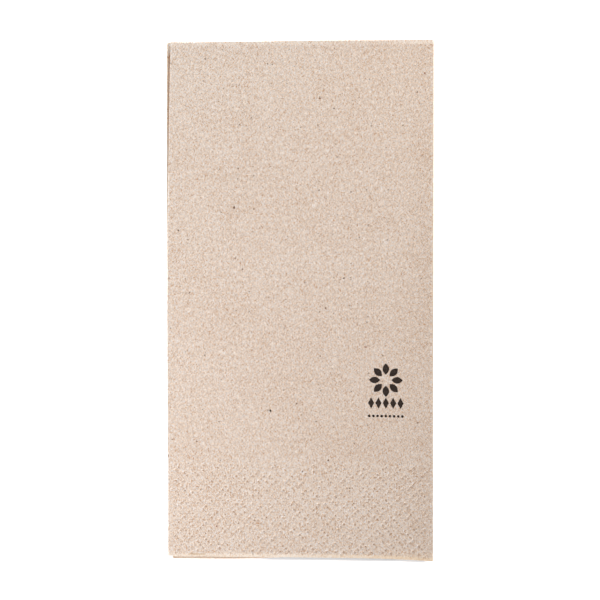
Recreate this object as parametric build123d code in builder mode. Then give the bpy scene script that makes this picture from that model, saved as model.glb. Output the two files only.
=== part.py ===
from build123d import *
import os

# A paper napkin folded from one sheet, lying flat on its back, in millimetres.
# +X runs to the closed spine, +Y to the cross fold, +Z up out of the printed face.
# The origin is under the middle of the folded napkin, on the surface that it lies on.

# The sheet
sheet_width = 400.0  # laid out flat, from side edge to side edge
sheet_length = 392.0  # laid out flat, from end edge to end edge
sheet_thickness = 0.2  # both plies, pressed together at the embossed borders
layer_gap = 0.1  # air between two layers that lie on each other

# Where the cut edges lie after folding
side_edge_out_top = 1.2  # lower layers stand out past the long fold, at the cross fold
side_edge_out_middle = 0.8  # the same half way down
side_edge_in_bottom = 1.5  # and are set back from the long fold at the cut ends
front_end_short = 1.1  # the two front layers end short of the longest ones at the long fold
inner_end_short = 0.4  # so do the two layers behind them
back_end_short = 0.7  # and the two layers that lie lowest

# The printed mark, a flower over a row of lozenges and a row of dots
ink_thickness = 0.03
mark_from_spine = 17.8  # middle of the mark from the spine's outside
flower_from_end = 67.5  # middle of the flower from the longest cut ends
petal_count = 8
petal_start = 2.1  # radius of the flower's open middle
petal_tip = 6.3  # radius of the flower
petal_width = 2.5
lozenge_count = 5
lozenge_pitch = 2.75
lozenge_width = 2.3
lozenge_height = 4.3
lozenges_from_end = 58.8
dot_count = 9
dot_pitch = 1.55
dot_radius = 0.5
dots_from_end = 53.9

# One fold along the sheet, one across it and one along it again give eight layers
panel_width = sheet_width / 4
panel_length = sheet_length / 2
layer_pitch = sheet_thickness + layer_gap
pair_height = 2 * layer_pitch
bundle_height = 4 * sheet_thickness + 3 * layer_gap
stack_height = 2 * bundle_height + layer_gap

# Bends, measured to the paper's faces, from the tightest one outwards
bend_inside = layer_gap / 2
bend_outside = bend_inside + sheet_thickness
outer_bend_inside = bend_outside + layer_gap
outer_bend_outside = outer_bend_inside + sheet_thickness

# The folded napkin is centred over the origin, with its lower layers' overhang
right_x = (panel_width + side_edge_out_top) / 2
long_fold_x = right_x - panel_width
top_y = panel_length / 2
end_y = -panel_length / 2

# The spine's axis runs along Y, half way up the stack
spine_x = right_x - stack_height / 2
spine_z = stack_height / 2

# The cross fold's axis runs along X, half way up each bundle of four layers
cross_fold_y = top_y - bundle_height / 2
bundle_middle = layer_gap / 2 + bundle_height / 2

# The long fold's axis runs along Y, between the two front layers
long_fold_axis_x = long_fold_x + bend_outside
front_pair_z = stack_height - bend_outside
cut_margin = 5.0  # how far the trimming shapes reach past the paper


def cross_fold_section(plane):
    # Four layers cut across: one bend inside another, open at the cut ends
    with BuildSketch(plane) as section:
        with Locations((cross_fold_y, bundle_middle)):
            for radius, mode in (
                (outer_bend_outside, Mode.ADD),
                (outer_bend_inside, Mode.SUBTRACT),
                (bend_outside, Mode.ADD),
                (bend_inside, Mode.SUBTRACT),
            ):
                Circle(radius, mode=mode)
                Rectangle(cross_fold_y - end_y, 2 * radius, align=(Align.MAX, Align.CENTER), mode=mode)
    return section.sketch


def long_fold_section(plane):
    # Half a ring, where one layer turns over into the layer behind it
    with BuildSketch(plane) as section:
        Circle(bend_outside)
        Circle(bend_inside, mode=Mode.SUBTRACT)
        Rectangle(2 * bend_outside, 2 * bend_outside, align=(Align.MIN, Align.CENTER), mode=Mode.SUBTRACT)
    return section.sketch


def end_trim(short_at_fold):
    # A wedge at the cut ends, widest at the long fold and nothing at the spine
    with BuildSketch() as trim:
        with BuildLine():
            Polyline(
                (long_fold_x - cut_margin, end_y - cut_margin),
                (spine_x, end_y - cut_margin),
                (spine_x, end_y),
                (long_fold_x, end_y + short_at_fold),
                (long_fold_x - cut_margin, end_y + short_at_fold),
                close=True,
            )
        make_face()
    return trim.sketch


with BuildPart() as folded_sheet:
    # Upper four layers, the spine, and the lower four layers
    upward = Plane(origin=(long_fold_axis_x, 0, spine_z), x_dir=(0, 1, 0), z_dir=(1, 0, 0))
    extrude(cross_fold_section(upward), amount=spine_x - long_fold_axis_x)
    at_spine = Plane(origin=(spine_x, 0, spine_z), x_dir=(0, 1, 0), z_dir=(1, 0, 0))
    spine_axis = Axis((spine_x, 0, spine_z), (0, 1, 0))
    revolve(cross_fold_section(at_spine), axis=spine_axis, revolution_arc=180)
    downward = Plane(origin=(spine_x, 0, spine_z), x_dir=(0, 1, 0), z_dir=(-1, 0, 0))
    extrude(cross_fold_section(downward), amount=spine_x - long_fold_x + side_edge_out_top)

    # The long fold runs up the front pair, round the cross fold and down the pair behind
    front_fold_end = Plane(origin=(long_fold_axis_x, end_y, front_pair_z), x_dir=(1, 0, 0), z_dir=(0, 1, 0))
    extrude(long_fold_section(front_fold_end), amount=cross_fold_y - end_y)
    front_fold_top = Plane(
        origin=(long_fold_axis_x, cross_fold_y, front_pair_z), x_dir=(1, 0, 0), z_dir=(0, 1, 0)
    )
    bundle_axis = Axis((long_fold_axis_x, cross_fold_y, spine_z + bundle_middle), (-1, 0, 0))
    revolve(long_fold_section(front_fold_top), axis=bundle_axis, revolution_arc=180)
    inner_pair_z = front_pair_z - pair_height
    inner_fold_end = Plane(origin=(long_fold_axis_x, end_y, inner_pair_z), x_dir=(1, 0, 0), z_dir=(0, 1, 0))
    extrude(long_fold_section(inner_fold_end), amount=cross_fold_y - end_y)

    # The lower layers' side edges run a little askew behind the long fold
    with BuildSketch() as side_trim:
        with BuildLine():
            side_edge = ThreePointArc(
                (long_fold_x - side_edge_out_top, top_y),
                (long_fold_x - side_edge_out_middle, 0),
                (long_fold_x + side_edge_in_bottom, end_y),
            )
            Polyline(
                side_edge @ 1,
                (long_fold_x + side_edge_in_bottom, end_y - cut_margin),
                (long_fold_x - side_edge_out_top - cut_margin, end_y - cut_margin),
                (long_fold_x - side_edge_out_top - cut_margin, top_y),
                side_edge @ 0,
            )
        make_face()
    extrude(side_trim.sketch, amount=spine_z, mode=Mode.SUBTRACT)

    # Each pair of layers ends at its own slant, trimmed between the gaps above and below it
    for trimmed_from, short_at_fold in (
        (spine_z + pair_height, front_end_short),
        (spine_z, inner_end_short),
        (spine_z - 2 * pair_height, back_end_short),
    ):
        with BuildSketch(Plane.XY.offset(trimmed_from)):
            add(end_trim(short_at_fold))
        extrude(amount=pair_height, mode=Mode.SUBTRACT)

mark_x = right_x - mark_from_spine


def pointed_petal():
    # A leaf shape between two arcs, lying along X
    half_length = (petal_tip - petal_start) / 2
    with BuildSketch() as petal:
        with BuildLine():
            ThreePointArc((-half_length, 0), (0, petal_width / 2), (half_length, 0))
            ThreePointArc((half_length, 0), (0, -petal_width / 2), (-half_length, 0))
        make_face()
    return petal.sketch


with BuildPart() as printed_mark:
    with BuildSketch(Plane.XY.offset(stack_height)) as inked:
        with Locations((mark_x, end_y + flower_from_end)):
            with PolarLocations((petal_start + petal_tip) / 2, petal_count, start_angle=90):
                add(pointed_petal())
        with Locations((mark_x, end_y + lozenges_from_end)):
            with GridLocations(lozenge_pitch, 0, lozenge_count, 1):
                Polygon(
                    (-lozenge_width / 2, 0),
                    (0, -lozenge_height / 2),
                    (lozenge_width / 2, 0),
                    (0, lozenge_height / 2),
                )
        with Locations((mark_x, end_y + dots_from_end)):
            with GridLocations(dot_pitch, 0, dot_count, 1):
                Circle(dot_radius)
    extrude(amount=ink_thickness)

os.makedirs("parts", exist_ok=True)
folded_sheet.part.label = "folded_sheet"
export_step(folded_sheet.part, "parts/folded_sheet.step")
printed_mark.part.label = "printed_mark"
export_step(printed_mark.part, "parts/printed_mark.step")
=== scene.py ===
import bmesh
import bpy
import math
import random
from mathutils import Matrix, Vector, noise


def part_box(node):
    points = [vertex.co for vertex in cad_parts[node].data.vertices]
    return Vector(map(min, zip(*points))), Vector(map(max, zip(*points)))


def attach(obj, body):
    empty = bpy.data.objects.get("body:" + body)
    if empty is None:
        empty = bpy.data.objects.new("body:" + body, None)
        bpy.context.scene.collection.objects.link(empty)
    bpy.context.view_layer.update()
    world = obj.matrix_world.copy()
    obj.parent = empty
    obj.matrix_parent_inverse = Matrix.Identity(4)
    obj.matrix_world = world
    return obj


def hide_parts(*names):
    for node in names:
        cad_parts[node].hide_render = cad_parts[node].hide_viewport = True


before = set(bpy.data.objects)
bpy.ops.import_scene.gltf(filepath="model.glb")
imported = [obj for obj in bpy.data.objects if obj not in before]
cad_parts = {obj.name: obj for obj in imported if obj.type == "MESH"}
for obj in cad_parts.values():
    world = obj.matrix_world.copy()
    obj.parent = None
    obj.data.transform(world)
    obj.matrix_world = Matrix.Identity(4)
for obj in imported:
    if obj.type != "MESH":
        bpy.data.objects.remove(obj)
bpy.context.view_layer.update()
mm = 0.001  # the paper is worked out in millimetres and set in metres at the end
print("frame loaded")

# The napkin lies on its back: +X is the closed spine, +Y the cross fold, +Z up
sheetSizes = {
    "flatWidth": 400.0,  # side edge to side edge
    "flatLength": 392.0,  # end edge to end edge
    "thickness": 0.2,
    "layers": 8,
    "sideOutTop": 1.2,  # lower layers past the long fold, at the cross fold
    "sideOutMiddle": 0.8,  # half way down
    "sideInBottom": 1.5,  # set back from the long fold at the cut ends
    "frontShort": 0.91,  # front pair short of the longest layers at the cut ends
    "frontSag": 1.15,  # how much of that is gone again at the spine
    "sagPower": 8.0,
    "cornerTrim": 0.2,  # its corner at the long fold is a little shorter still
    "cornerShare": 0.04,  # over this share of the width
    "innerShort": 0.3,
    "innerSetBack": 1.6,  # inner pair's fold behind the front one at the cut ends
    "backShort": 0.6,
    "lowerShows": 0.8,  # the lower layers show from here to the long fold, as a share of the width
    "showsOver": 0.3,
    "tuck": 0.05,  # where they don't show, each pair ends this much short of the one above
}
foldLoft = {
    "creasePower": 0.65,  # 1 is a round bend, less is a pressed one
    "spineRise": -0.12,  # share by which the stack swells at the spine, here pressed flat
    "spineReach": 6.0,  # how far into the face that goes
    "crossRise": 0.05,
    "crossReach": 5.0,
    "longBow": (  # how far the long fold bows out, by the share of the way down
        (0.0, -0.4),
        (0.03, -0.36),
        (0.05, -0.14),
        (0.1, -0.04),
        (0.2, 0.2),
        (0.3, 0.47),
        (0.4, 0.83),
        (0.48, 0.83),
        (0.6, 0.68),
        (0.78, 0.45),
        (0.9, 0.33),
        (1.0, 0.28),
    ),
    "crossBow": (  # the same for the cross fold, by the share of the way from the spine
        (0.0, 0.15),
        (0.1, 0.13),
        (0.2, 0.06),
        (0.4, 0.08),
        (0.52, 0.03),
        (0.64, -0.13),
        (0.85, -0.24),
        (0.95, -0.32),
        (1.0, -0.2),
    ),
    "spineOut": 0.05,  # the spine stands out this far at the cross fold
    "waveHeight": 0.16,  # soft waves of the whole stack
    "waveAcross": 46.0,
    "waveAlong": 70.0,
    "waveMiddle": 0.35,
    "endCurl": 0.06,  # lift of the front layer's cut end
    "endCurlReach": 1.6,
    "endCurlHold": 6.0,  # it fades this far from the long fold and the spine
    "endCurlWave": 9.0,
}
pressed = {
    "stepAcross": 1.0414,  # half the distance between dots across the napkin
    "stepAlong": 1.0504,  # and along it
    "middleFromSpine": 26.06,  # a diamond's middle, from the spine's middle
    "middleFromEnd": 12.923,  # and from the front layer's cut end
    "lean": 0.0058,  # the columns lean this much from the sheet's long edges
    "rowLean": 0.0038,  # and the rows from its ends
    "leanMiddle": (50.4, 17.0),  # about a point this far from the spine and the cut end
    "leanStart": 3.0,  # the sheet's own grid leans in full from here on
    "period": 5,  # the diamonds repeat every five steps along a diagonal
    "ring": 1.5,  # twelve dots lie this many steps from the middle one
    "depth": 35.2,  # the diamonds reach this far in from each edge
    "depthFade": 1.0,  # the lighter border starts this far past the closing rows
    "rim": 1.2,  # the outermost strip has no dots
    "foldFade": (1.0, 2.6),  # and they fade out on a fold
    "dotReach": 0.5,
    "dotHeight": 0.29,
    "uneven": (0.6, 1.2),  # the weakest and strongest dot, as shares of that height
    "rowsFromEnd": (38.3, 40.05),  # two rows of small dots close the border
    "rowDotReach": 0.5,
    "rowDotHeight": 0.05,
    "cuts": 5,  # each cell of two steps is cut into six
}

low, high = (Vector(corner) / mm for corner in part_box("folded_sheet"))
stackHeight = high.z - low.z
thickness = sheetSizes["thickness"]
pitch = (stackHeight - thickness) / (sheetSizes["layers"] - 1)
halfWidth = sheetSizes["flatWidth"] / 2
halfLength = sheetSizes["flatLength"] / 2
panelWidth = halfWidth / 2
longRadius = pitch / 2
crossRadius = pitch
spineRadius = 2 * pitch
longFoldX = high.x - panelWidth
crossY = high.y - 1.5 * pitch - thickness / 2
spineStart = panelWidth - thickness / 2 - stackHeight / 2
# Where the sheet's own lines of the long fold and the spine lie, seen flat
foldLines = (0.0, spineStart + spineRadius * math.pi / 2 + longRadius * (math.pi / 2 - 1))


def clamp(value, least, most):
    return max(least, min(most, value))


def shareOf(value, start, end):
    return (value - start) / (end - start)


def smoothStep(value):
    value = clamp(value, 0.0, 1.0)
    return value * value * (3 - 2 * value)


def sideOverhang(share):
    # How far the lower layers stand out past the long fold, by the share of the way down
    top, middle, bottom = sheetSizes["sideOutTop"], sheetSizes["sideOutMiddle"], -sheetSizes["sideInBottom"]
    upper = top * (1 - share) * (1 - 2 * share) + 4 * middle * share * (1 - share)
    return upper + bottom * share * (2 * share - 1)


def bowOut(name, share):
    # A fold's bow from its table, straight between two points
    points = foldLoft[name]
    for (start, first), (end, last) in zip(points, points[1:]):
        if share <= end:
            return first + (last - first) * (share - start) / (end - start)
    return points[-1][1]


def crease(angle):
    # Cosine and sine of a bend, pressed towards a square one
    across, up = math.cos(angle), math.sin(angle)
    power = foldLoft["creasePower"]
    return math.copysign(abs(across) ** power, across), math.copysign(abs(up) ** power, up)


def foldPoint(u, v, h):
    # Takes a point of the flat sheet, h above its middle, through the three folds

    # First fold, along the sheet: the left half goes under
    turn = clamp(u / longRadius, -math.pi / 2, math.pi / 2)
    x = longRadius - (longRadius + h) * math.cos(turn) + abs(u - turn * longRadius)
    z = (longRadius + h) * math.sin(turn)

    # Second fold, across it: the far half goes under
    turn = clamp(v / crossRadius, -math.pi / 2, math.pi / 2)
    out, up = crease(turn)
    y = crossY + (crossRadius + z) * out - abs(v - turn * crossRadius)
    z = -(crossRadius + z) * up

    # Third fold, along it again: both outer quarters go under
    across = x
    turn = clamp((x - spineStart) / spineRadius, 0.0, math.pi)
    under = turn / math.pi
    beyond = x - spineStart - turn * spineRadius
    up, out = crease(turn)
    x = spineStart + (spineRadius + z) * out + (beyond if under < 0.5 else -beyond)
    z = (spineRadius + z) * up

    # Where the edges miss each other
    share = clamp((high.y - y) / (high.y - low.y), 0.0, 1.0)
    fromSpine = clamp(1 - x / panelWidth, 0.0, 1.2)  # 1 at the long fold
    x -= bowOut("longBow", share) * fromSpine * (1 - under)
    x += foldLoft["spineOut"] * (1 - share) * (1 - min(fromSpine, 1.0))
    cutEdgeX = 2 * spineStart + math.pi * spineRadius - halfWidth - longRadius * (1 - math.pi / 2)
    x -= (sideOverhang(share) + cutEdgeX + thickness / 2) * fromSpine * under
    sag = sheetSizes["frontSag"] * max(1 - fromSpine, 0.0) ** sheetSizes["sagPower"]
    front = sheetSizes["frontShort"] - sag
    hidden = smoothStep((sheetSizes["lowerShows"] - fromSpine) / sheetSizes["showsOver"])
    tuck = sheetSizes["tuck"]
    lower = (front + tuck) * hidden
    if v < 0:
        corner = sheetSizes["cornerShare"]
        front += sheetSizes["cornerTrim"] * smoothStep((fromSpine - 1 + corner) / corner)
        short = front * (1 - under) + (lower + sheetSizes["backShort"] * fromSpine) * under
    else:
        inner = sheetSizes["innerShort"] * (1 - hidden) + (front + 2 * tuck) * hidden
        short = inner * (1 - under) + lower * under
        x += sheetSizes["innerSetBack"] * share * fromSpine * (1 - under)
    y += short * share
    y += bowOut("crossBow", fromSpine) * (1 - share)

    # The stack swells at its folds and waves a little, and its lowest face stays flat
    z += stackHeight / 2
    spineGap = (panelWidth - x) / foldLoft["spineReach"]
    crossGap = (high.y - y) / foldLoft["crossReach"]
    loft = foldLoft["spineRise"] * math.exp(-spineGap * spineGap)
    loft += foldLoft["crossRise"] * math.exp(-crossGap * crossGap)
    wave = noise.noise(Vector((x / foldLoft["waveAcross"], y / foldLoft["waveAlong"], 0.4)))
    z *= 1 + loft + foldLoft["waveHeight"] * (wave + foldLoft["waveMiddle"]) / stackHeight

    # The front layer's cut end lifts off the layers under it
    if v < 0 < u and under < 0.5:
        near = clamp(1 - (halfLength + v) / foldLoft["endCurlReach"], 0.0, 1.0)
        reach = foldLoft["endCurlHold"]
        hold = smoothStep(across / reach) * smoothStep((spineStart - across) / reach)
        uneven = 0.7 + 0.6 * noise.noise(Vector((across / foldLoft["endCurlWave"], 2.7, 0.1)))
        z += foldLoft["endCurl"] * near * near * hold * uneven
    return Vector((longFoldX + thickness / 2 + x, y, low.z + z)) * mm


def dotRelief(fromSpine, fromEnd):
    # Height of the embossing: diamonds of twelve dots round one, and two rows of small dots
    fromFold = min(fromSpine, foldLines[1] - fromSpine)
    fade = clamp(shareOf(fromFold, *pressed["foldFade"]), 0.0, 1.0)
    least, most = pressed["uneven"]
    half = pressed["period"] / 2
    stepAcross, stepAlong = pressed["stepAcross"], pressed["stepAlong"]
    leanSpine, leanEnd = pressed["leanMiddle"]
    fromSpine, fromEnd = (
        fromSpine + pressed["lean"] * (fromEnd - leanEnd),
        fromEnd - pressed["rowLean"] * (fromSpine - leanSpine),
    )
    across = (fromSpine - pressed["middleFromSpine"]) / stepAcross
    along = (fromEnd - pressed["middleFromEnd"]) / stepAlong
    relief = 0.0
    if pressed["rim"] < fromEnd < pressed["depth"]:
        for dotAcross in (math.floor(across), math.floor(across) + 1):
            for dotAlong in (math.floor(along), math.floor(along) + 1):
                first = ((dotAcross + dotAlong) / 2 + half) % pressed["period"] - half
                second = ((dotAcross - dotAlong) / 2 + half) % pressed["period"] - half
                if max(abs(first), abs(second)) in (0.0, pressed["ring"]):
                    gap = math.hypot((across - dotAcross) * stepAcross, (along - dotAlong) * stepAlong)
                    gap = min(gap / pressed["dotReach"], 1.0)
                    chance = noise.cell(Vector((dotAcross + 0.5, dotAlong + 0.5, 0.5)))
                    height = pressed["dotHeight"] * (least + (most - least) * chance)
                    relief = max(relief, height * (1 - gap * gap) ** 2)
    for row in pressed["rowsFromEnd"]:
        beside = (across / 2 - math.floor(across / 2 + 0.5)) * 2 * stepAcross
        gap = math.hypot(beside, fromEnd - row) / pressed["rowDotReach"]
        relief = max(relief, pressed["rowDotHeight"] * (1 - min(gap, 1.0) ** 2) ** 2)
    return relief * fade


gridLines = {  # distances between the flat sheet's grid lines, and how far from a fold each holds
    "open": 9.0,
    "overFront": 7.0,
    "near": 3.0,
    "nearSpineReach": 12.0,
    "nearCrossReach": 16.0,
    "besideReach": 4.0,
    "besideLong": 1.8,
    "besideCross": 1.2,
    "onSpine": 0.16,
    "onLong": 0.1,
    "onCross": 0.102,
    "crossBend": 1.7,  # the cross fold's bend ends this many radii from its line
    "foldRoom": 0.3,  # the embossed cells end this far from a bend
}


def linesBetween(start, end, spacing):
    count = max(1, round(abs(end - start) / spacing))
    return [start + (end - start) * k / count for k in range(count)]


def sheetLines():
    # Grid lines of the flat sheet: close at the folds, even over the embossing, wide elsewhere
    cell = 2 * pressed["stepAcross"]
    spineMiddle = foldLines[1]
    firstCell = spineMiddle - pressed["middleFromSpine"]
    room = gridLines["foldRoom"]
    frontStart = firstCell - cell * math.floor((firstCell - room) / cell)
    frontEnd = firstCell + cell * math.floor((spineStart + room - firstCell) / cell)
    spineEnd = 2 * spineMiddle - frontEnd
    beside, near = gridLines["besideReach"], gridLines["nearSpineReach"]
    bands = [
        (-halfWidth, -spineEnd - near, gridLines["open"]),
        (-spineEnd - near, -spineEnd, gridLines["near"]),
        (-spineEnd, -frontEnd, gridLines["onSpine"]),
        (-frontEnd, -frontEnd + near, gridLines["near"]),
        (-frontEnd + near, -beside, gridLines["open"]),
        (-beside, -frontStart, gridLines["besideLong"]),
        (-frontStart, frontStart, gridLines["onLong"]),
        (frontStart, frontEnd, cell),
        (frontEnd, spineEnd, gridLines["onSpine"]),
        (spineEnd, spineEnd + near, gridLines["near"]),
        (spineEnd + near, halfWidth, gridLines["open"]),
    ]
    acrossLines = [line for band in bands for line in linesBetween(*band)] + [halfWidth]
    cellAlong = 2 * pressed["stepAlong"]
    endCell = pressed["middleFromEnd"] - cellAlong * math.floor(pressed["middleFromEnd"] / cellAlong)
    lastRow = pressed["rowsFromEnd"][1] + pressed["rowDotReach"]
    borderEnd = endCell + cellAlong * math.ceil((lastRow - endCell) / cellAlong)
    bend = crossRadius * gridLines["crossBend"]
    near = gridLines["nearCrossReach"]
    bands = [
        (-halfLength, -halfLength + endCell, endCell),
        (-halfLength + endCell, -halfLength + borderEnd, cellAlong),
        (-halfLength + borderEnd, -near, gridLines["overFront"]),
        (-near, -beside, gridLines["near"]),
        (-beside, -bend, gridLines["besideCross"]),
        (-bend, bend, gridLines["onCross"]),
        (bend, beside, gridLines["besideCross"]),
        (beside, near, gridLines["near"]),
        (near, halfLength, gridLines["open"]),
    ]
    alongLines = [line for band in bands for line in linesBetween(*band)] + [halfLength]
    dense = (frontStart, frontEnd, -halfLength, -halfLength + borderEnd)
    return acrossLines, alongLines, dense


# Outside or inside, from and to across the flat sheet and along it, and the same on the bake map
bakePlaces = (
    (1, (0.0, foldLines[1]), (-halfLength, 0.0), (0.004, 0.5), (0.004, 0.996)),
    (1, (foldLines[1], halfWidth), (-halfLength, 0.0), (0.508, 0.742), (0.5, 0.996)),
    (1, (-halfWidth, 0.0), (-halfLength, 0.0), (0.75, 0.996), (0.752, 0.996)),
    (1, (-halfWidth, halfWidth), (0.0, halfLength), (0.75, 0.996), (0.5, 0.744)),
    (-1, (-halfWidth, halfWidth), (-halfLength, halfLength), (0.508, 0.996), (0.04, 0.492)),
)
rimStrips = {  # the four cut edges lie under them as thin strips
    "middle": 0.752,
    "halfSpan": 0.243,
    "start": 0.004,
    "step": 0.009,
    "width": 0.004,
}


def flatUv(u, v):
    return u / halfWidth / 2 + 0.5, v / halfLength / 2 + 0.5


def layOut(bm, layer):
    # Each stretch of the sheet gets its own part of the map, the front panel the largest
    for face in bm.faces:
        middle = face.calc_center_median()
        if abs(face.normal.z) < 0.5:
            onEnd = abs(middle.y) > halfLength - 0.001
            strip = (0 if onEnd else 2) + (0 if (middle.y if onEnd else middle.x) < 0 else 1)
            for loop in face.loops:
                along = loop.vert.co.x / halfWidth if onEnd else loop.vert.co.y / halfLength
                across = shareOf(loop.vert.co.z, -thickness / 2, thickness / 2)
                loop[layer].uv = (
                    rimStrips["middle"] + rimStrips["halfSpan"] * along,
                    rimStrips["start"] + rimStrips["step"] * strip + rimStrips["width"] * across,
                )
            continue
        for side, acrossSpan, alongSpan, mapAcross, mapAlong in bakePlaces:
            inside = 0 <= shareOf(middle.x, *acrossSpan) <= 1 and 0 <= shareOf(middle.y, *alongSpan) <= 1
            if inside and side * face.normal.z > 0:
                for loop in face.loops:
                    across = shareOf(loop.vert.co.x, *acrossSpan)
                    along = shareOf(loop.vert.co.y, *alongSpan)
                    loop[layer].uv = (
                        mapAcross[0] + across * (mapAcross[1] - mapAcross[0]),
                        mapAlong[0] + along * (mapAlong[1] - mapAlong[0]),
                    )
                break


def raiseFaces(bm, height):
    raised = bmesh.ops.extrude_face_region(bm, geom=bm.faces[:])["geom"]
    topVerts = [part for part in raised if isinstance(part, bmesh.types.BMVert)]
    bmesh.ops.translate(bm, verts=topVerts, vec=(0, 0, height))
    return topVerts


def finishPiece(bm, name):
    mesh = bpy.data.meshes.new(name)
    bm.to_mesh(mesh)
    bm.free()
    piece = bpy.data.objects.new(name, mesh)
    bpy.context.scene.collection.objects.link(piece)
    return piece


def makeSheet():
    acrossLines, alongLines, dense = sheetLines()
    bm = bmesh.new()
    bmesh.ops.create_grid(
        bm, x_segments=len(acrossLines) - 1, y_segments=len(alongLines) - 1, size=0.5, calc_uvs=False
    )
    for vert in bm.verts:
        column = round((vert.co.x + 0.5) * (len(acrossLines) - 1))
        row = round((vert.co.y + 0.5) * (len(alongLines) - 1))
        vert.co = (acrossLines[column], alongLines[row], 0.0)

    # The front panel's border is cut fine enough to hold the embossing
    left, right, bottom, top = dense
    inBorder = []
    for face in bm.faces:
        middle = face.calc_center_median()
        if left < middle.x < right and bottom < middle.y < top:
            inBorder.append(face)
    edges = list({edge for face in inBorder for edge in face.edges})
    bmesh.ops.subdivide_edges(bm, edges=edges, cuts=pressed["cuts"], use_grid_fill=True)
    leanSpine, leanEnd = pressed["leanMiddle"]
    for vert in bm.verts:
        if left < vert.co.x < right and vert.co.y < top:
            fromSpine, fromEnd = foldLines[1] - vert.co.x, halfLength + vert.co.y
            vert.co.x += pressed["lean"] * (fromEnd - leanEnd)
            held = clamp(fromEnd / pressed["leanStart"], 0.0, 1.0)
            vert.co.y += pressed["rowLean"] * (fromSpine - leanSpine) * held

    # Thickness, while the sheet is flat
    raised = raiseFaces(bm, thickness / 2)
    rest = set(bm.verts) - set(raised)
    bmesh.ops.translate(bm, verts=list(rest), vec=(0, 0, -thickness / 2))
    bmesh.ops.recalc_face_normals(bm, faces=bm.faces[:])

    flatMap = bm.loops.layers.uv.new("flatSheet")
    modelled = bm.verts.layers.float.new("modelled")
    for face in bm.faces:
        face.smooth = True
        upright = abs(face.normal.z) < 0.5
        for loop in face.loops:
            loop[flatMap].uv = flatUv(loop.vert.co.x, loop.vert.co.y)
            if upright:
                loop.edge.smooth = False
    layOut(bm, bm.loops.layers.uv.new("OFBake"))
    for vert in bm.verts:
        u, v, h = vert.co
        if left <= u <= right and v <= top:
            vert[modelled] = 1.0
            h += dotRelief(foldLines[1] - u, halfLength + v)
        vert.co = foldPoint(u, v, h)
    return finishPiece(bm, "foldedPaper")


def newGroup(name, inputs, outputs):
    group = bpy.data.node_groups.new(name, "ShaderNodeTree")
    for label, kind, value in inputs:
        socket = group.interface.new_socket(name=label, in_out="INPUT", socket_type=kind)
        if value is not None:
            socket.default_value = value
    for label, kind in outputs:
        group.interface.new_socket(name=label, in_out="OUTPUT", socket_type=kind)
    return group, group.nodes.new("NodeGroupInput"), group.nodes.new("NodeGroupOutput")


def feed(tree, value, socket):
    if isinstance(value, bpy.types.NodeSocket):
        tree.links.new(value, socket)
    else:
        socket.default_value = value


def mathNode(tree, operation, first, second=None, third=None):
    node = tree.nodes.new("ShaderNodeMath")
    node.operation = operation
    for socket, value in zip(node.inputs, (first, second, third)):
        if value is not None:
            feed(tree, value, socket)
    return node.outputs[0]


def vectorNode(tree, operation, first, second):
    node = tree.nodes.new("ShaderNodeVectorMath")
    node.operation = operation
    feed(tree, first, node.inputs[0])
    feed(tree, second, node.inputs[1])
    return node.outputs[0]


def rangeNode(tree, value, fromMin, fromMax, toMin=0.0, toMax=1.0, kind="LINEAR"):
    node = tree.nodes.new("ShaderNodeMapRange")
    node.interpolation_type = kind
    feed(tree, value, node.inputs["Value"])
    for label, number in (("From Min", fromMin), ("From Max", fromMax), ("To Min", toMin), ("To Max", toMax)):
        feed(tree, number, node.inputs[label])
    return node.outputs["Result"]


def noiseNode(tree, vector, scale, detail=2.0, rough=0.5):
    node = tree.nodes.new("ShaderNodeTexNoise")
    feed(tree, vector, node.inputs["Vector"])
    node.inputs["Scale"].default_value = scale
    node.inputs["Detail"].default_value = detail
    node.inputs["Roughness"].default_value = rough
    return node.outputs[0]


def mixColour(tree, share, first, second, blend="MIX"):
    node = tree.nodes.new("ShaderNodeMix")
    node.data_type = "RGBA"
    node.blend_type = blend
    feed(tree, share, node.inputs["Factor"])
    feed(tree, first, node.inputs[6])
    feed(tree, second, node.inputs[7])
    return node.outputs[2]


def sheetPlace(tree):
    # Place on the flat sheet in millimetres, from its middle
    place = tree.nodes.new("ShaderNodeUVMap")
    place.uv_map = "flatSheet"
    centred = vectorNode(tree, "SUBTRACT", place.outputs[0], (0.5, 0.5, 0.0))
    return vectorNode(tree, "MULTIPLY", centred, (2 * halfWidth, 2 * halfLength, 1.0))


def productOf(tree, *factors):
    product = factors[0]
    for factor in factors[1:]:
        product = mathNode(tree, "MULTIPLY", product, factor)
    return product


fibreLooks = {
    "turns": ((1.45, 11.0), (0.75, 37.0), (2.3, 71.0)),  # angle and offset of each set of streaks
    "stretch": (1.8, 0.38, 1.0),
    "streaks": 0.55,  # weight of each set in the tone
    "grain": (1.15, 2.3, 2.0, 0.6),  # weight, scale, detail and roughness
    "cloud": (0.08, 0.03, 1.0, 0.5),
    "patch": (0.12, 0.15, 1.0, 0.5),
    "spread": 0.38,  # of the tone, to each side of its middle
    "hueScale": 1.5,
}


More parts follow.
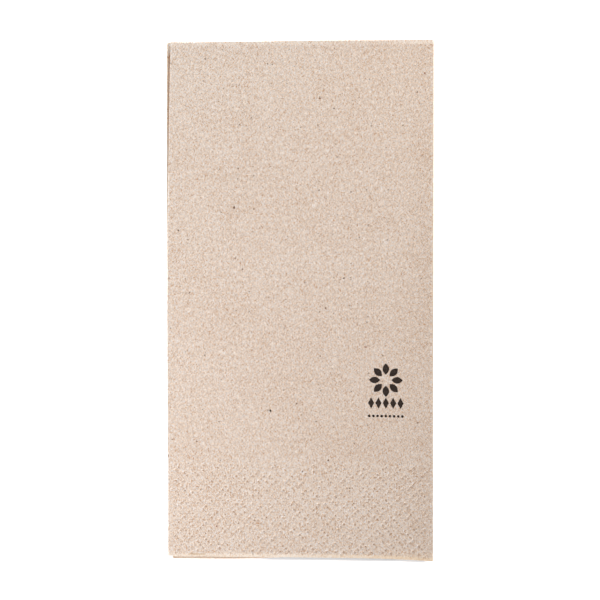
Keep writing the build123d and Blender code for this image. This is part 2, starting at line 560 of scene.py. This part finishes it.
def makeFibreGroup():
    # Short tangled fibres: streaks at three angles over fine grain and soft clouds
    group, inside, outside = newGroup(
        "tissueFibre",
        [("Place", "NodeSocketVector", None)],
        [("Tone", "NodeSocketFloat"), ("Hue", "NodeSocketFloat"), ("Height", "NodeSocketFloat")],
    )
    place = inside.outputs["Place"]
    streaks = None
    for angle, offset in fibreLooks["turns"]:
        turned = group.nodes.new("ShaderNodeMapping")
        turned.vector_type = "TEXTURE"
        turned.inputs["Rotation"].default_value = (0, 0, angle)
        turned.inputs["Location"].default_value = (offset, offset, offset)
        turned.inputs["Scale"].default_value = fibreLooks["stretch"]
        group.links.new(place, turned.inputs["Vector"])
        streak = noiseNode(group, turned.outputs[0], 1.0, 1.0)
        streaks = streak if streaks is None else mathNode(group, "ADD", streaks, streak)
    tone = mathNode(group, "MULTIPLY", streaks, fibreLooks["streaks"])
    middle = len(fibreLooks["turns"]) * fibreLooks["streaks"] / 2
    for layer in ("grain", "cloud", "patch"):
        weight, scale, detail, rough = fibreLooks[layer]
        tone = mathNode(group, "MULTIPLY_ADD", noiseNode(group, place, scale, detail, rough), weight, tone)
        middle += weight / 2
    spread = fibreLooks["spread"]
    group.links.new(rangeNode(group, tone, middle - spread, middle + spread), outside.inputs["Tone"])
    group.links.new(noiseNode(group, place, fibreLooks["hueScale"], 1.0), outside.inputs["Hue"])
    group.links.new(tone, outside.inputs["Height"])
    return group


fleckLooks = {
    "sorts": (  # cells to a millimetre, share of them that hold a fleck, its size and strength
        (0.9, 0.3, 0.2, 0.3),
        (0.42, 0.3, 0.26, 0.6),
        (0.16, 0.33, 0.37, 0.95),
    ),
    "warpScale": 3.1,
    "warp": (0.5, 0.5, 0.0),
    "smallest": 0.45,  # as a share of the size
    "core": 0.55,  # a fleck is full to this share of its reach
}


def makeFleckGroup():
    # Scattered flecks: some cells of a grid hold one, each of its own size
    group, inside, outside = newGroup(
        "tissueFlecks",
        [
            ("Place", "NodeSocketVector", None),
            ("Per Millimetre", "NodeSocketFloat", 0.5),
            ("Share", "NodeSocketFloat", 0.5),
            ("Size", "NodeSocketFloat", 0.2),
        ],
        [("Mask", "NodeSocketFloat")],
    )
    place = inside.outputs["Place"]
    warp = noiseNode(group, place, fleckLooks["warpScale"], 1.0)
    bent = vectorNode(group, "ADD", place, vectorNode(group, "MULTIPLY", warp, fleckLooks["warp"]))
    cells = group.nodes.new("ShaderNodeTexVoronoi")
    cells.voronoi_dimensions = "2D"
    group.links.new(bent, cells.inputs["Vector"])
    group.links.new(inside.outputs["Per Millimetre"], cells.inputs["Scale"])
    apart = group.nodes.new("ShaderNodeSeparateColor")
    group.links.new(cells.outputs["Color"], apart.inputs[0])
    gap = mathNode(group, "DIVIDE", cells.outputs["Distance"], inside.outputs["Per Millimetre"])
    size = rangeNode(group, apart.outputs[1], 0, 1, fleckLooks["smallest"], 1.0)
    reach = mathNode(group, "MULTIPLY", inside.outputs["Size"], size)
    mask = rangeNode(group, mathNode(group, "DIVIDE", gap, reach), 1.0, fleckLooks["core"])
    held = mathNode(group, "LESS_THAN", apart.outputs[0], inside.outputs["Share"])
    group.links.new(mathNode(group, "MULTIPLY", mask, held), outside.inputs["Mask"])
    return group


def makeDotGroup():
    # The embossing as a height, for the borders whose dots aren't in the mesh
    group, inside, outside = newGroup(
        "pressedDots",
        [("Place", "NodeSocketVector", None)],
        [("Height", "NodeSocketFloat"), ("Border", "NodeSocketFloat")],
    )
    stepAcross, stepAlong = pressed["stepAcross"], pressed["stepAlong"]
    middleX = foldLines[1] - pressed["middleFromSpine"]
    middleY = pressed["middleFromEnd"] - halfLength
    apart = group.nodes.new("ShaderNodeSeparateXYZ")
    group.links.new(inside.outputs["Place"], apart.inputs[0])
    leanSpine, leanEnd = pressed["leanMiddle"]
    columns = mathNode(group, "ADD", apart.outputs[1], halfLength - leanEnd)
    columns = mathNode(group, "MULTIPLY_ADD", columns, -pressed["lean"], apart.outputs[0])
    rows = mathNode(group, "ADD", apart.outputs[0], leanSpine - foldLines[1])
    rows = mathNode(group, "MULTIPLY_ADD", rows, pressed["rowLean"], apart.outputs[1])
    across = mathNode(group, "DIVIDE", mathNode(group, "SUBTRACT", columns, middleX), 2 * stepAcross)
    along = mathNode(group, "DIVIDE", mathNode(group, "SUBTRACT", rows, middleY), 2 * stepAlong)
    wraps, gaps, rings = [], [], []
    for line in (mathNode(group, "ADD", across, along), mathNode(group, "SUBTRACT", across, along)):
        wrapped = mathNode(group, "WRAP", line, pressed["period"] / 2, -pressed["period"] / 2)
        wraps.append(wrapped)
        dot = mathNode(group, "ADD", mathNode(group, "FLOOR", wrapped), 0.5)
        gaps.append(mathNode(group, "SUBTRACT", wrapped, dot))
        rings.append(mathNode(group, "ABSOLUTE", dot))
    dotPitch = math.hypot(stepAcross, stepAlong)
    reach = pressed["dotReach"] / dotPitch

    def dome(first, second):
        # One over the dot's middle, nothing past its reach
        square = mathNode(group, "ADD", *(mathNode(group, "POWER", gap, 2.0) for gap in (first, second)))
        return rangeNode(group, square, reach * reach, 0.0, 0.0, 1.0, "SMOOTHSTEP")

    onRing = mathNode(group, "COMPARE", mathNode(group, "MAXIMUM", *rings), pressed["ring"], 0.1)
    ringDots = mathNode(group, "MULTIPLY", dome(*gaps), onRing)
    dots = mathNode(group, "MAXIMUM", ringDots, dome(*wraps))
    inBorder, nearEdge = None, None
    borderStart = pressed["rowsFromEnd"][1] + pressed["depthFade"]
    for output, half in ((apart.outputs[0], halfWidth), (apart.outputs[1], halfLength)):
        fromEdge = mathNode(group, "SUBTRACT", half, mathNode(group, "ABSOLUTE", output))
        side = mathNode(group, "LESS_THAN", fromEdge, pressed["depth"])
        dots = mathNode(group, "MULTIPLY", dots, mathNode(group, "GREATER_THAN", fromEdge, pressed["rim"]))
        inBorder = side if inBorder is None else mathNode(group, "MAXIMUM", inBorder, side)
        near = rangeNode(group, fromEdge, borderStart, pressed["depth"])
        nearEdge = near if nearEdge is None else mathNode(group, "MAXIMUM", nearEdge, near)
    for line in foldLines:
        fromFold = mathNode(group, "ABSOLUTE", mathNode(group, "SUBTRACT", apart.outputs[0], line))
        dots = mathNode(group, "MULTIPLY", dots, rangeNode(group, fromFold, *pressed["foldFade"]))
    group.links.new(mathNode(group, "MULTIPLY", dots, inBorder), outside.inputs["Height"])
    group.links.new(nearEdge, outside.inputs["Border"])
    return group


def newMaterial(name, roughness, shine):
    material = bpy.data.materials.new(name)
    material.use_nodes = True
    tree = material.node_tree
    shader = tree.nodes["Principled BSDF"]
    shader.inputs["Roughness"].default_value = roughness
    shader.inputs["Specular IOR Level"].default_value = shine
    return material, tree, shader


paperLooks = {
    "dark": (0.402, 0.213, 0.104, 1),  # linear colours
    "middle": (0.626, 0.536, 0.442, 1),
    "light": (0.783, 0.732, 0.682, 1),
    "warm": (1.065, 1.011, 0.935, 1),  # the colour is multiplied by one of these
    "cool": (0.935, 0.989, 1.065, 1),
    "hueRange": (0.35, 0.65),  # of the noise that mixes them
    "pressedTint": (0.62, 0.49, 0.38, 1),  # where a dot presses the plies together
    "coreSharpness": 4.3,  # the tint keeps to the dot's middle
    "coreNoise": 0.8,  # and some dots have less of it
    "coreRange": (0.25, 0.6),
    "borderLight": (1.025, 1.037, 1.045, 1),  # lighter over the embossed border
    "speckInk": (0.20, 0.145, 0.10, 1),
    "sideShade": (0.56, 0.41, 0.31, 1),  # painted shade in the gap where the lower layers stand out past the long fold
    "sideLight": (1.38, 1.37, 1.31, 1),  # painted highlight on the side edge's outermost fibres, near the cross fold
    "endLight": (1.21, 1.24, 1.23, 1),  # painted highlight on the cut ends
    "endWarmth": (1.0, 0.93, 0.83, 1),  # that painted highlight is browner towards the spine
    "behindLight": (1.53, 1.44, 1.36, 1),  # painted highlight, stronger still, on the lower layers' cut ends
    "spineLight": (1.3, 1.42, 1.52, 1),  # along the spine
    "crossLight": (1.17, 1.22, 1.26, 1),  # and the cross fold
    "fluffCover": 0.5,  # how far the fluff along those edges hides the grain
    "nickShade": (0.78, 0.7, 0.58, 1),  # painted shade of a short crease by the cut end, next to the long fold
    "roughness": 0.95,
    "shine": 0.12,
    "grainHeight": 0.03,
}
edgeBands = {  # from, to and the strength at each, in millimetres
    "paintedShadeOutside": (0.2, 0.8, 0.1, 1.0),  # from the side edge
    "paintedShadeInside": (2.4, 1.8),
    "paintedShadeTop": (1.0, 5.5, 0.15, 1.0),  # from the cross fold
    "paintedShadeBottom": (22.0, 75.0, 1.0, 0.15),
    "paintedSideLight": (0.6, 0.35),  # from the side edge
    "paintedSideLightBottom": (45.0, 5.0),  # from the cross fold
    "paintedEndLight": (1.8, 0.7, 0.0, 1.0, "SMOOTHSTEP"),  # from the cut end
    "paintedEndLightSoft": (4.2, 1.6, 0.0, 0.4),
    "softSide": (22.0, 10.0),  # from the spine
    "paintedEndLightSide": (90.0, 62.0, 0.6, 1.0),
    "warmSide": (45.0, 12.0),
    "spineRim": (1.05, 0.46, 0.0, 1.0, "SMOOTHSTEP"),
    "crossRim": (2.0, 1.3, 0.0, 1.0, "SMOOTHSTEP"),  # from the cross fold
    "crossInside": (0.3, 0.6),
    "crossSide": (18.0, 6.0, 0.33, 1.0),  # from the spine
    "nickAcross": (0.4, 0.15),  # from the crease's middle
    "nickAlong": (3.6, 2.6),
    "nickPlace": (88.8, 0.95),  # from the spine and the cut end
}


def placeGroup(tree, group, vector, **values):
    node = tree.nodes.new("ShaderNodeGroup")
    node.node_tree = group
    tree.links.new(vector, node.inputs["Place"])
    for label, value in values.items():
        node.inputs[label.replace("_", " ")].default_value = value
    return node


def addBump(tree, shader, height):
    bump = tree.nodes.new("ShaderNodeBump")
    bump.inputs["Distance"].default_value = mm
    tree.links.new(height, bump.inputs["Height"])
    tree.links.new(bump.outputs[0], shader.inputs["Normal"])


def makePaperMaterial(fibre, flecks, dots):
    material, tree, shader = newMaterial("recycledTissue", paperLooks["roughness"], paperLooks["shine"])
    place = sheetPlace(tree)
    fibres = placeGroup(tree, fibre, place)
    ramp = tree.nodes.new("ShaderNodeValToRGB")
    ramp.color_ramp.elements[0].color = paperLooks["dark"]
    ramp.color_ramp.elements[1].color = paperLooks["light"]
    ramp.color_ramp.elements.new(0.5).color = paperLooks["middle"]
    tree.links.new(fibres.outputs["Tone"], ramp.inputs[0])
    warmth = rangeNode(tree, fibres.outputs["Hue"], *paperLooks["hueRange"])
    tint = mixColour(tree, warmth, paperLooks["cool"], paperLooks["warm"])
    tinted = mixColour(tree, 1.0, ramp.outputs[0], tint, "MULTIPLY")
    emboss = placeGroup(tree, dots, place)
    tinted = mixColour(tree, emboss.outputs["Border"], tinted, paperLooks["borderLight"], "MULTIPLY")
    core = mathNode(tree, "POWER", emboss.outputs["Height"], paperLooks["coreSharpness"])
    uneven = noiseNode(tree, place, paperLooks["coreNoise"], 0.0)
    core = mathNode(tree, "MULTIPLY", core, rangeNode(tree, uneven, *paperLooks["coreRange"]))
    tinted = mixColour(tree, core, tinted, paperLooks["pressedTint"], "MULTIPLY")

    # Small flecks of bark and old print, the commonest ones pale and small
    for perMillimetre, share, size, strength in fleckLooks["sorts"]:
        specks = placeGroup(tree, flecks, place, Per_Millimetre=perMillimetre, Share=share, Size=size)
        cover = mathNode(tree, "MULTIPLY", specks.outputs["Mask"], strength)
        tinted = mixColour(tree, cover, tinted, paperLooks["speckInk"])

    def band(distance, name):
        return rangeNode(tree, distance, *edgeBands[name])

    # Painted shade darkens the side edge below the cross fold, in the gap where the lower layers stand out
    # past the long fold, and painted highlights lighten the cut ends
    apart = tree.nodes.new("ShaderNodeSeparateXYZ")
    tree.links.new(place, apart.inputs[0])
    fromMiddle = mathNode(tree, "ABSOLUTE", apart.outputs[0])
    fromSide = mathNode(tree, "SUBTRACT", halfWidth, fromMiddle)
    fromFold = mathNode(tree, "ABSOLUTE", apart.outputs[1])
    fromEnd = mathNode(tree, "SUBTRACT", halfLength, fromFold)
    fromSpine = mathNode(tree, "ABSOLUTE", mathNode(tree, "SUBTRACT", apart.outputs[0], foldLines[1]))
    # painted shade of the gap beside the long fold
    paintedSideShade = productOf(
        tree,
        band(fromSide, "paintedShadeOutside"),
        band(fromSide, "paintedShadeInside"),
        band(fromFold, "paintedShadeTop"),
        band(fromFold, "paintedShadeBottom"),
    )
    # painted highlight on the outermost strip of the side edge, near the cross fold
    paintedSideLight = productOf(tree, band(fromSide, "paintedSideLight"), band(fromFold, "paintedSideLightBottom"))
    # painted highlight along the cut ends, weaker towards the long fold
    soft = productOf(tree, band(fromEnd, "paintedEndLightSoft"), band(fromSpine, "softSide"))
    paintedEndLight = mathNode(tree, "MAXIMUM", band(fromEnd, "paintedEndLight"), soft)
    paintedEndLight = productOf(tree, paintedEndLight, band(fromSpine, "paintedEndLightSide"))
    # stronger painted highlight on the lower layers' cut ends, which lie in the front layers' shade
    paintedLightBehind = productOf(tree, paintedEndLight, mathNode(tree, "GREATER_THAN", fromMiddle, panelWidth))
    spineRim = band(fromSpine, "spineRim")
    crossRim = productOf(
        tree, band(fromFold, "crossRim"), band(fromFold, "crossInside"), band(fromSpine, "crossSide")
    )
    # painted shade of a short crease by the cut end
    nickFromSpine, nickFromEnd = edgeBands["nickPlace"]
    nickPlace = (foldLines[1] - nickFromSpine, nickFromEnd - halfLength, 0.0)
    nick = tree.nodes.new("ShaderNodeSeparateXYZ")
    tree.links.new(vectorNode(tree, "SUBTRACT", place, nickPlace), nick.inputs[0])
    paintedNickShade = productOf(
        tree,
        band(mathNode(tree, "ABSOLUTE", nick.outputs[1]), "nickAcross"),
        band(mathNode(tree, "ABSOLUTE", nick.outputs[0]), "nickAlong"),
    )
    fluffy = mathNode(tree, "MAXIMUM", paintedEndLight, mathNode(tree, "MAXIMUM", spineRim, crossRim))
    calmed = mathNode(tree, "MULTIPLY", fluffy, paperLooks["fluffCover"])
    shaded = mixColour(tree, calmed, tinted, paperLooks["middle"])
    for mask, look in (
        (paintedSideShade, "sideShade"),
        (paintedSideLight, "sideLight"),
        (paintedEndLight, "endLight"),
        (productOf(tree, paintedEndLight, band(fromSpine, "warmSide")), "endWarmth"),
        (paintedLightBehind, "behindLight"),
        (spineRim, "spineLight"),
        (crossRim, "crossLight"),
        (paintedNickShade, "nickShade"),
    ):
        shaded = mixColour(tree, mask, shaded, paperLooks[look], "MULTIPLY")
    tree.links.new(shaded, shader.inputs["Base Color"])

    modelled = tree.nodes.new("ShaderNodeAttribute")
    modelled.attribute_name = "modelled"
    bare = mathNode(tree, "SUBTRACT", 1.0, modelled.outputs["Fac"])
    relief = productOf(tree, emboss.outputs["Height"], bare, pressed["dotHeight"])
    height = mathNode(tree, "MULTIPLY_ADD", fibres.outputs["Height"], paperLooks["grainHeight"], relief)
    addBump(tree, shader, height)
    return material


inkLooks = {
    "full": (0.026, 0.0185, 0.0145, 1),
    "thin": (0.06, 0.044, 0.034, 1),  # where the fibres show through
    "coverRange": (0.45, 0.95),
    "roughness": 0.9,
    "shine": 0.15,
}


def makeInkMaterial(fibre):
    material, tree, shader = newMaterial("darkInk", inkLooks["roughness"], inkLooks["shine"])
    fibres = placeGroup(tree, fibre, sheetPlace(tree))
    cover = rangeNode(tree, fibres.outputs["Tone"], *inkLooks["coverRange"])
    tree.links.new(mixColour(tree, cover, inkLooks["full"], inkLooks["thin"]), shader.inputs["Base Color"])
    addBump(tree, shader, mathNode(tree, "MULTIPLY", fibres.outputs["Height"], paperLooks["grainHeight"]))
    return material


# The print is a flower over a row of lozenges and a row of dots, in the CAD's places
markShapes = {
    "fromSpine": 17.8,  # middle of the mark, from the spine's outside
    "flowerFromEnd": 67.5,
    "petals": 8,
    "petalStart": 2.1,
    "petalTip": 6.3,
    "petalWidth": 2.5,
    "petalCorners": 24,
    "lozenges": 5,
    "lozengePitch": 2.75,
    "lozengeWidth": 2.3,
    "lozengeHeight": 4.3,
    "lozengesFromEnd": 58.8,
    "dots": 9,
    "dotPitch": 1.55,
    "dotRadius": 0.5,
    "dotCorners": 20,
    "dotsFromEnd": 53.9,
    "inkHeight": 0.03,
}


def setOnFront(bm, name, material):
    # Shapes drawn in millimetres from the spine's outside and the cut ends are laid on the front
    flatMap = bm.loops.layers.uv.new("flatSheet")
    for face in bm.faces:
        for loop in face.loops:
            loop[flatMap].uv = flatUv(panelWidth + loop.vert.co.x, loop.vert.co.y - halfLength)
    for vert in bm.verts:
        vert.co = foldPoint(panelWidth + vert.co.x, vert.co.y - halfLength, thickness / 2 + vert.co.z)
    bmesh.ops.recalc_face_normals(bm, faces=bm.faces[:])
    piece = finishPiece(bm, name)
    piece.data.materials.append(material)
    return piece


def makeMark(material):
    bm = bmesh.new()
    x = -markShapes["fromSpine"]
    petalTurn = math.tau / markShapes["petals"]
    petalHalf = (markShapes["petalTip"] - markShapes["petalStart"]) / 2
    for k in range(markShapes["petals"]):
        corners = markShapes["petalCorners"]
        petal = bmesh.ops.create_circle(bm, cap_ends=True, segments=corners, radius=1.0)["verts"]
        for vert in petal:
            along = vert.co.x
            side = math.copysign(1 - along * along, vert.co.y)
            vert.co = (along * petalHalf, side * markShapes["petalWidth"] / 2, 0)
        place = Matrix.Translation((x, markShapes["flowerFromEnd"], 0))
        place = place @ Matrix.Rotation(math.pi / 2 + k * petalTurn, 4, "Z")
        place = place @ Matrix.Translation((markShapes["petalStart"] + petalHalf, 0, 0))
        bmesh.ops.transform(bm, matrix=place, verts=petal)
    for k in range(markShapes["lozenges"]):
        lozenge = bmesh.ops.create_circle(bm, cap_ends=True, segments=4, radius=0.5)["verts"]
        size = (markShapes["lozengeWidth"], markShapes["lozengeHeight"], 1)
        bmesh.ops.scale(bm, vec=size, verts=lozenge)
        along = (k - (markShapes["lozenges"] - 1) / 2) * markShapes["lozengePitch"]
        bmesh.ops.translate(bm, vec=(x + along, markShapes["lozengesFromEnd"], 0), verts=lozenge)
    for k in range(markShapes["dots"]):
        corners, radius = markShapes["dotCorners"], markShapes["dotRadius"]
        dot = bmesh.ops.create_circle(bm, cap_ends=True, segments=corners, radius=radius)["verts"]
        along = (k - (markShapes["dots"] - 1) / 2) * markShapes["dotPitch"]
        bmesh.ops.translate(bm, vec=(x + along, markShapes["dotsFromEnd"], 0), verts=dot)
    bmesh.ops.remove_doubles(bm, verts=bm.verts[:], dist=0.001)
    raiseFaces(bm, markShapes["inkHeight"])
    return setOnFront(bm, "printedFlower", material)


# The larger bits of bark in the front panel, as chips that lie on it
barkBits = {
    "places": [  # from the spine, from the cut end, length, width, turn in degrees, tint
        (61.1, 55.6, 1.05, 0.75, 110, 0),
        (74.9, 132.8, 1.06, 0.82, 90, 1),
        (91.5, 100.5, 1.07, 0.43, 54, 1),
        (33.5, 105.9, 0.82, 0.52, 52, 0),
        (95.8, 124.2, 0.74, 0.44, 144, 0),
        (40.3, 94.5, 0.76, 0.63, 135, 1),
        (51.3, 58.3, 0.86, 0.52, 38, 1),
        (3.5, 183.3, 0.67, 0.61, 142, 2),
        (43.0, 174.0, 0.63, 0.6, 20, 1),
        (39.4, 36.9, 0.63, 0.63, 0, 1),
        (73.6, 147.7, 0.68, 0.54, 70, 1),
        (89.0, 43.8, 0.59, 0.53, 160, 1),
        (62.9, 187.3, 0.52, 0.43, 10, 0),
        (71.4, 109.4, 0.55, 0.5, 95, 0),
        (27.8, 121.4, 0.47, 0.42, 30, 0),
        (25.3, 79.9, 0.66, 0.54, 60, 2),
        (42.4, 76.3, 0.54, 0.45, 120, 0),
        (37.6, 170.1, 0.66, 0.51, 150, 1),
        (48.1, 104.2, 0.5, 0.42, 75, 0),
        (81.5, 11.6, 0.7, 0.51, 15, 2),
    ],
    "height": 0.05,
    "corners": 9,
    "ragged": (0.88, 1.1),
    "seed": 4,
    "tints": [(0.04, 0.03, 0.025, 1), (0.135, 0.075, 0.045, 1), (0.27, 0.12, 0.075, 1)],
    "worn": (0.3, 1.1, 0.0, 0.3),  # how the fibres' tone lightens them
    "roughness": 0.9,
    "shine": 0.1,
}


def makeBark(materials):
    bm = bmesh.new()
    rng = random.Random(barkBits["seed"])
    for fromSpine, fromEnd, length, width, turn, tint in barkBits["places"]:
        bit = bmesh.ops.create_circle(bm, cap_ends=True, segments=barkBits["corners"], radius=0.5)["verts"]
        for vert in bit:
            vert.co *= rng.uniform(*barkBits["ragged"])
        place = Matrix.Translation((-fromSpine, fromEnd, 0)) @ Matrix.Rotation(math.radians(turn), 4, "Z")
        bmesh.ops.transform(bm, matrix=place @ Matrix.Diagonal((length, width, 1, 1)), verts=bit)
        for face in {face for vert in bit for face in vert.link_faces}:
            face.material_index = tint
    raiseFaces(bm, barkBits["height"])
    piece = setOnFront(bm, "barkBits", materials[0])
    for material in materials[1:]:
        piece.data.materials.append(material)
    return piece


def makeBarkMaterials(fibre):
    made = []
    for k, tint in enumerate(barkBits["tints"]):
        material, tree, shader = newMaterial(f"bark{k}", barkBits["roughness"], barkBits["shine"])
        fibres = placeGroup(tree, fibre, sheetPlace(tree))
        worn = rangeNode(tree, fibres.outputs["Tone"], *barkBits["worn"])
        tree.links.new(mixColour(tree, worn, tint, paperLooks["dark"]), shader.inputs["Base Color"])
        made.append(material)
    return made


floorShade = {  # painted contact shadow along the front layers' end, in millimetres
    "colour": (0.372, 0.39, 0.405, 1),
    "start": 0.27,  # under the paper by this much
    "core": 0.3,  # darkest to here
    "reach": (26.0, 36.0, 1.15, 0.9),  # its width narrows between these places
    "rim": 0.68,  # strength at its outside
    "rimFade": 0.1,
    "leftFade": (-19.0, -11.0, 0.6, 1.0),
    "rightFade": (47.0, 34.0, 0.8, 1.0),
    "rightEnd": (49.5, 47.0),
}
studio = {
    "floorSize": 3.0,
    "floorColour": (0.8, 0.8, 0.8, 1),
    "floorGlow": 0.95,
    "floorRoughness": 0.9,
    "floorShine": 0.1,
    "sky": (0.10, 0.075, 0.06, 1),
    "horizon": (2.2, 2.2, 2.2, 1),
    "horizonBand": (0.12, 0.07),  # it starts between these heights of the view's direction
    "lights": {  # place, size, power and colour
        "key": ((-0.7, 0.7, 0.28), 0.15, 13.5, (0.84, 1.0, 1.155)),
        "left": ((-0.184, -0.133, 0.256), 0.1, 0.682, (1.075, 1.0, 1.005)),
        "far": ((0.279, 0.320, 0.242), 0.12, 1.18, (1.17, 1.01, 0.905)),
    },
}
lens = {
    "distance": 0.8,
    "aim": (0.00015, 0.0, 0.0),
    "yaw": 3.59,  # degrees from straight above, towards the spine
    "roll": 0.09,
    "focal": 126.8,
    "sensor": 36,  # both in millimetres
    "nearest": 0.01,
}


def makeFloorMaterial():
    # Glowing white, with the napkin's contact shadow painted on
    material, tree, shader = newMaterial("studioWhite", studio["floorRoughness"], studio["floorShine"])
    place = tree.nodes.new("ShaderNodeTexCoord")
    apart = tree.nodes.new("ShaderNodeSeparateXYZ")
    tree.links.new(place.outputs["Object"], apart.inputs[0])
    x, y = (mathNode(tree, "DIVIDE", output, mm) for output in apart.outputs[:2])
    across = mathNode(tree, "MULTIPLY_ADD", x, 1 / panelWidth, -longFoldX / panelWidth)
    sag = mathNode(tree, "POWER", mathNode(tree, "MAXIMUM", across, 0.0), sheetSizes["sagPower"])
    sag = mathNode(tree, "MULTIPLY", sag, sheetSizes["frontSag"])
    paperEnd = mathNode(tree, "SUBTRACT", low.y + sheetSizes["frontShort"] - floorShade["start"], sag)
    gap = mathNode(tree, "SUBTRACT", paperEnd, y)
    reach = rangeNode(tree, x, *floorShade["reach"])
    shade = productOf(
        tree,
        rangeNode(tree, gap, floorShade["core"], reach, 1.0, floorShade["rim"]),
        rangeNode(tree, mathNode(tree, "SUBTRACT", gap, reach), floorShade["rimFade"], 0.0),
        rangeNode(tree, x, *floorShade["leftFade"]),
        rangeNode(tree, x, *floorShade["rightFade"]),
        rangeNode(tree, x, *floorShade["rightEnd"]),
        mathNode(tree, "LESS_THAN", y, 0.0),
    )
    white = mixColour(tree, shade, (1, 1, 1, 1), floorShade["colour"])
    painted = mixColour(tree, 1.0, white, studio["floorColour"], "MULTIPLY")
    tree.links.new(white, shader.inputs["Emission Color"])
    tree.links.new(painted, shader.inputs["Base Color"])
    shader.inputs["Emission Strength"].default_value = studio["floorGlow"]
    return material


def makeFloor():
    bm = bmesh.new()
    bmesh.ops.create_grid(bm, x_segments=1, y_segments=1, size=studio["floorSize"] / 2)
    floor = finishPiece(bm, "studioFloor")
    floor.data.materials.append(makeFloorMaterial())


def makeLights():
    for name, (place, size, power, colour) in studio["lights"].items():
        light = bpy.data.lights.new(name, "AREA")
        light.shape = "SQUARE"
        light.size = size
        light.energy = power
        light.color = colour
        lamp = bpy.data.objects.new(name, light)
        lamp.location = place
        lamp.rotation_euler = lamp.location.to_track_quat("Z", "Y").to_euler()
        lamp.visible_camera = False
        bpy.context.scene.collection.objects.link(lamp)


def makeSky():
    # Dark above and bright near the horizon, where the floor ends
    world = bpy.data.worlds.new("studioSky")
    world.use_nodes = True
    tree = world.node_tree
    direction = tree.nodes.new("ShaderNodeTexCoord")
    apart = tree.nodes.new("ShaderNodeSeparateXYZ")
    tree.links.new(direction.outputs["Generated"], apart.inputs[0])
    nearHorizon = rangeNode(tree, apart.outputs[2], *studio["horizonBand"])
    glow = mixColour(tree, nearHorizon, studio["sky"], studio["horizon"])
    tree.links.new(glow, tree.nodes["Background"].inputs[0])
    bpy.context.scene.world = world
    bpy.context.scene.view_settings.view_transform = "Standard"


def makeCamera():
    camera = bpy.data.objects.new("camera", bpy.data.cameras.new("camera"))
    camera.data.lens = lens["focal"]
    camera.data.sensor_width = lens["sensor"]
    camera.data.clip_start = lens["nearest"]
    yaw = Matrix.Rotation(math.radians(lens["yaw"]), 4, "Y")
    roll = Matrix.Rotation(math.radians(lens["roll"]), 4, "Z")
    back = Matrix.Translation((0, 0, lens["distance"]))
    camera.matrix_world = Matrix.Translation(lens["aim"]) @ yaw @ roll @ back
    bpy.context.scene.collection.objects.link(camera)
    bpy.context.scene.camera = camera


makeCamera()
makeFloor()
makeLights()
makeSky()
print("studio ready")

fibre = makeFibreGroup()
paper = makeSheet()
paper.data.materials.append(makePaperMaterial(fibre, makeFleckGroup(), makeDotGroup()))
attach(paper, "root")
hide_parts("folded_sheet")
print("paper folded")

mark = makeMark(makeInkMaterial(fibre))
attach(mark, "root")
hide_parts("printed_mark")
print("mark printed")

bark = makeBark(makeBarkMaterials(fibre))
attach(bark, "root")
print("bark bits laid in")
